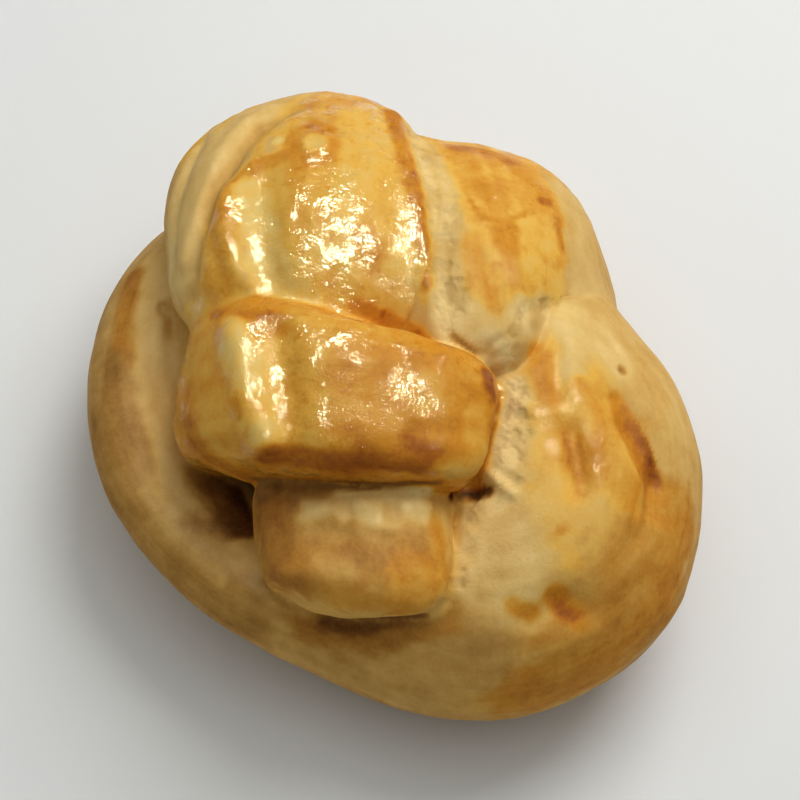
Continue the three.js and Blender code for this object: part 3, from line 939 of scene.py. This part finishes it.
def first_coat(dough):
    """The bake and wash of each part before the strokes, browner towards the tray, partly as painted
    shade.
    """
    total = sum(dough.belongs.values())
    bake_and_shade = sum(dough.belongs[part] * part_bake for part, (part_bake, _) in FIRST_COAT.items()) / total
    wash = sum(dough.belongs[part] * part_wash for part, (_, part_wash) in FIRST_COAT.items()) / total
    return bake_and_shade + LOW_BAKE_AND_SHADE * np.clip(1 - dough.points[:, 2] / LOW_HEIGHT, 0, 1), wash


def paint(dough):
    """How far the crust has baked, from 0 for white dough to 1 for burnt, with painted shade in the
    creases, gaps and shaded walls, and where it is washed.
    """
    wobble = layered_noise(dough.points, BRUSH_WOBBLE)
    wobble += BRUSH_STREAKS * drawn_noise(dough, *BRUSH_GRAIN)
    patches = np.clip(PATCH_COVER + layered_noise(dough.points, PATCH_NOISE), LEAST_COVER, 1)
    bake_and_shade, wash = first_coat(dough)
    for view, strokes in STROKES.items():
        for reach, new_bake_and_shade, new_wash, *run in strokes:
            mask = stroke_mask(dough, view, run, reach, wobble)
            patchy = np.interp(reach, PATCHY_REACH, (0, 1)) if new_bake_and_shade < PATCHY_BAKE else 0
            bake_and_shade += (new_bake_and_shade - bake_and_shade) * mask * (1 - (1 - patches) * patchy)
            wash += (new_wash - wash) * mask
    underside = np.clip(1 - dough.points[:, 2] / UNDERSIDE_HEIGHT, 0, 1)
    bake_and_shade += (UNDERSIDE_BAKE - bake_and_shade) * underside
    wash *= 1 - underside
    return bake_and_shade, wash


def torn(dough):
    """Where the skin tore open as the dough swelled."""
    wobble = layered_noise(dough.points, TEAR_WOBBLE)
    masks = []
    for view, tears in TEARS.items():
        masks += [stroke_mask(dough, view, run, reach, wobble) for reach, *run in tears]
    return np.max(masks, axis=0)


def carve(dough, wash, tear):
    """Raises and sinks the skin: lumps, blisters, drawn-out streaks, torn seams, folds and dents."""
    points = dough.points
    height = layered_noise(points, LUMPS)
    height += np.maximum(layered_noise(points, BLISTERS), 0) * wash
    height += layered_noise(points, SWELLINGS) * wash
    height += drawn_noise(dough, *STREAK_GRAIN) * (STREAK_RISE + (WASHED_STREAK_RISE - STREAK_RISE) * wash)
    height += (layered_noise(points, RAGGED) - TEAR_DEPTH) * tear
    for view, folds in RELIEF.items():
        for width, rise, *run in folds:
            places = seen_run(dough, view, run)
            if places:
                height += rise * soft_line(points, places, width)
    return points + height[:, None] * dough.normals()


def add_attribute(mesh, name, values):
    """Stores a number or a vector for each point, for the material to read."""
    kind, field = ("FLOAT", "value") if values.ndim == 1 else ("FLOAT_VECTOR", "vector")
    attribute = mesh.attributes.new(name, kind, "POINT")
    attribute.data.foreach_set(field, values.ravel().astype(np.float32))


def build_knot():
    """The whole roll as one skin."""
    lofts = {name: Loft(strand) for name, strand in STRANDS.items()}
    mesh = joined_skin(lofts)
    dough = Dough(Field(lofts), mesh)
    bake_and_shade, wash = paint(dough)
    tear = torn(dough)
    dough.points = carve(dough, wash, tear)
    set_mesh_points(mesh, fit_to_frame(dough.points))
    mesh.name = "challah_knot_skin"
    mesh.polygons.foreach_set("use_smooth", [True] * len(mesh.polygons))
    painted = {"bake_and_shade": bake_and_shade, "wash": wash, "tear": tear, "clear": dough.clear, "grain": dough.grain}
    for name, values in painted.items():
        add_attribute(mesh, name, values)
    return add_object("challah_knot_skin", mesh)


# The crust's material

def srgb(red, green, blue):
    """A colour given from 0 to 255 as the linear colour that a shader takes."""
    def linear(value):
        value /= 255
        return value / 12.92 if value <= 0.04045 else ((value + 0.055) / 1.055) ** 2.4
    return (linear(red), linear(green), linear(blue), 1)


def set_shader(shader, values):
    """Sets the shader's own values by the names of its sockets."""
    for name, value in values.items():
        shader.inputs[name].default_value = value


class Shading:
    """Short ways to add and link the nodes of one material."""

    def __init__(self, name):
        self.material = bpy.data.materials.new(name)
        self.material.use_nodes = True
        self.tree = self.material.node_tree
        self.shader = self.tree.nodes["Principled BSDF"]

    def node(self, kind, **settings):
        made = self.tree.nodes.new(kind)
        for key, value in settings.items():
            setattr(made, key, value)
        return made

    def set(self, socket, value):
        if isinstance(value, bpy.types.NodeSocket):
            self.tree.links.new(value, socket)
        else:
            socket.default_value = value

    def filled(self, made, output, **inputs):
        """A node's output, once its inputs are set; a name's underscores stand for spaces."""
        for name, value in inputs.items():
            self.set(made.inputs[name.replace("_", " ")], value)
        return made.outputs[output]

    def attribute(self, name, output="Fac"):
        return self.node("ShaderNodeAttribute", attribute_name=name).outputs[output]

    def math(self, operation, a, b, clamp=False):
        made = self.node("ShaderNodeMath", operation=operation, use_clamp=clamp)
        self.set(made.inputs[0], a)
        self.set(made.inputs[1], b)
        return made.outputs[0]

    def total(self, first, *others):
        """The sum of some values."""
        for other in others:
            first = self.math("ADD", first, other)
        return first

    def noise(self, place, name):
        scale, detail, roughness = NOISES[name]
        made = self.node("ShaderNodeTexNoise")
        return self.filled(made, "Fac", Vector=place, Scale=scale, Detail=detail, Roughness=roughness)

    def spread(self, value, low, high, new_low, new_high):
        """Stretches what lies between two values over two others."""
        made = self.node("ShaderNodeMapRange")
        limits = {"From_Min": low, "From_Max": high, "To_Min": new_low, "To_Max": new_high}
        return self.filled(made, "Result", Value=value, **limits)

    def swing(self, value, amount):
        """A noise that goes this far up and down from nought."""
        return self.spread(value, *NOISE_MIDDLE, -amount, amount)

    def ramp(self, value, stops):
        made = self.node("ShaderNodeValToRGB")
        elements = made.color_ramp.elements
        while len(elements) < len(stops):
            elements.new(0.5)
        for element, (position, colour) in zip(elements, stops):
            element.position = position
            element.color = srgb(*colour)
        return self.filled(made, "Color", Fac=value)

    def mix(self, share, a, b, kind="RGBA"):
        made = self.node("ShaderNodeMix", data_type=kind)
        return self.filled(made, "Result", Factor=share, A=a, B=b)

    def scaled(self, place, amounts):
        return self.filled(self.node("ShaderNodeMapping"), "Vector", Vector=place, Scale=amounts)

    def bump(self, height, depth, **under):
        made = self.node("ShaderNodeBump")
        return self.filled(made, "Normal", Height=height, Distance=depth, **under)


def uneven_bake(crust, place, wash, mottle):
    """How far the bake strays: clouds, mottling, specks, streaks along the dough, speckled wash."""
    streaks = crust.noise(crust.scaled(crust.attribute("grain", "Vector"), STREAK_SCALE), "streaks")
    streaks = crust.math("MULTIPLY", crust.swing(streaks, STREAK_SWING), crust.attribute("clear"))
    speckles = crust.spread(crust.noise(place, "speckles"), *SPECKLES)
    return crust.total(
        crust.swing(crust.noise(place, "clouds"), CLOUD_SWING),
        crust.swing(mottle, MOTTLE_SWING),
        crust.swing(crust.noise(place, "specks"), SPECK_SWING),
        streaks,
        crust.math("MULTIPLY", speckles, wash),
    )


def colour_crust(crust, baked_and_shaded, wash, crumb):
    """Tan where bare, amber where washed, and crumbs in the tears."""
    washed = crust.math("MULTIPLY", wash, WASH_COVER, clamp=True)
    colour = crust.mix(washed, crust.ramp(baked_and_shaded, PLAIN_COLOURS), crust.ramp(baked_and_shaded, WASHED_COLOURS))
    colour = crust.mix(crust.math("MULTIPLY", crumb, CRUMB_SHARE), colour, srgb(*CRUMB_COLOUR))
    crust.set(crust.shader.inputs["Base Color"], colour)


def glaze_crust(crust, place, wash, mottle):
    """Dull where bare; where washed, a clear glaze that misses some patches."""
    glaze = crust.spread(wash, *GLAZE)
    glaze = crust.math("MULTIPLY", glaze, glaze)
    plain = crust.spread(mottle, *PLAIN_ROUGHNESS)
    washed = crust.spread(mottle, *WASHED_ROUGHNESS)
    crust.set(crust.shader.inputs["Roughness"], crust.mix(glaze, plain, washed, "FLOAT"))
    wet = crust.spread(crust.noise(place, "wet"), *WETNESS)
    crust.set(crust.shader.inputs["Coat Weight"], crust.math("MULTIPLY", glaze, wet))


def roughen_crust(crust, place, crumb):
    """Pores all over, sunken crumbs in the tears, and blisters that the glaze shows."""
    normal = crust.bump(crust.noise(place, "pores"), PORE_DEPTH)
    normal = crust.bump(crust.math("MULTIPLY", crumb, -1.0), CRUMB_DEPTH, Normal=normal)
    crust.set(crust.shader.inputs["Normal"], normal)
    blistered = crust.bump(crust.noise(place, "blisters"), BLISTER_DEPTH, Normal=normal)
    crust.set(crust.shader.inputs["Coat Normal"], blistered)


def crust_material():
    """Baked dough: matte and tan where bare, amber and glossy where washed, cream where torn."""
    crust = Shading("crust")
    place = crust.node("ShaderNodeTexCoord").outputs["Object"]
    bake_and_shade, wash, tear = (crust.attribute(name) for name in ("bake_and_shade", "wash", "tear"))
    mottle = crust.noise(place, "mottle")
    crumb = crust.math("MULTIPLY", crust.spread(crust.noise(place, "crumbs"), *CRUMBS), tear)
    baked_and_shaded = crust.math("ADD", bake_and_shade, uneven_bake(crust, place, wash, mottle), clamp=True)
    colour_crust(crust, baked_and_shaded, wash, crumb)
    glaze_crust(crust, place, wash, mottle)
    roughen_crust(crust, place, crumb)
    set_shader(crust.shader, CRUST_SHADER)
    return crust.material


# The floor, the lamps and the camera

def add_floor():
    """A plain sheet of pale paper."""
    mesh = bpy.data.meshes.new("floor")
    corners = [(x * FLOOR_HALF, y * FLOOR_HALF, 0) for x, y in ((-1, -1), (1, -1), (1, 1), (-1, 1))]
    mesh.from_pydata(corners, [], [(0, 1, 2, 3)])
    floor = add_object("floor", mesh)
    paper = bpy.data.materials.new("paper")
    paper.use_nodes = True
    set_shader(paper.node_tree.nodes["Principled BSDF"], PAPER_SHADER)
    mesh.materials.append(paper)


def add_area_light(name, place, size, power, colour):
    """A round lamp that faces the roll."""
    data = bpy.data.lights.new(name, "AREA")
    data.shape = "DISK"
    data.size = size
    data.energy = power
    data.color = colour
    light = add_object(name, data)
    light.location = place
    light.rotation_euler = (VIEW_TARGET - Vector(place)).to_track_quat("-Z", "Y").to_euler()
    return light


def light_scene():
    """A pale room, soft lamps that light the dough, and lamps that only gleam in the glaze."""
    world = bpy.data.worlds.new("studio")
    bpy.context.scene.world = world
    world.use_nodes = True
    background = world.node_tree.nodes["Background"]
    background.inputs["Color"].default_value = ROOM_COLOUR
    background.inputs["Strength"].default_value = ROOM_STRENGTH
    world.cycles_visibility.glossy = False
    for name, lamp in SOFT_LAMPS.items():
        add_area_light(name, *lamp).visible_glossy = False
    for name, lamp in GLEAMING_LAMPS.items():
        add_area_light(name, *lamp).visible_diffuse = False
    bpy.context.scene.view_settings.view_transform = "Standard"


def add_camera():
    """The photograph's view."""
    data = bpy.data.cameras.new("camera")
    camera = add_object("camera", data)
    toward_eye = Vector((0, -math.cos(VIEW_ELEVATION), math.sin(VIEW_ELEVATION)))
    camera.location = VIEW_TARGET + VIEW_DISTANCE * toward_eye
    camera.rotation_euler = (-toward_eye).to_track_quat("-Z", "Y").to_euler()
    data.lens = data.sensor_width * VIEW_DISTANCE / VIEW_WIDTH
    data.clip_start = NEAREST_SEEN
    bpy.context.scene.camera = camera


add_camera()
knot = build_knot()
knot.data.materials.append(crust_material())
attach(knot, "root")
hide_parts("challah_knot")
add_floor()
light_scene()
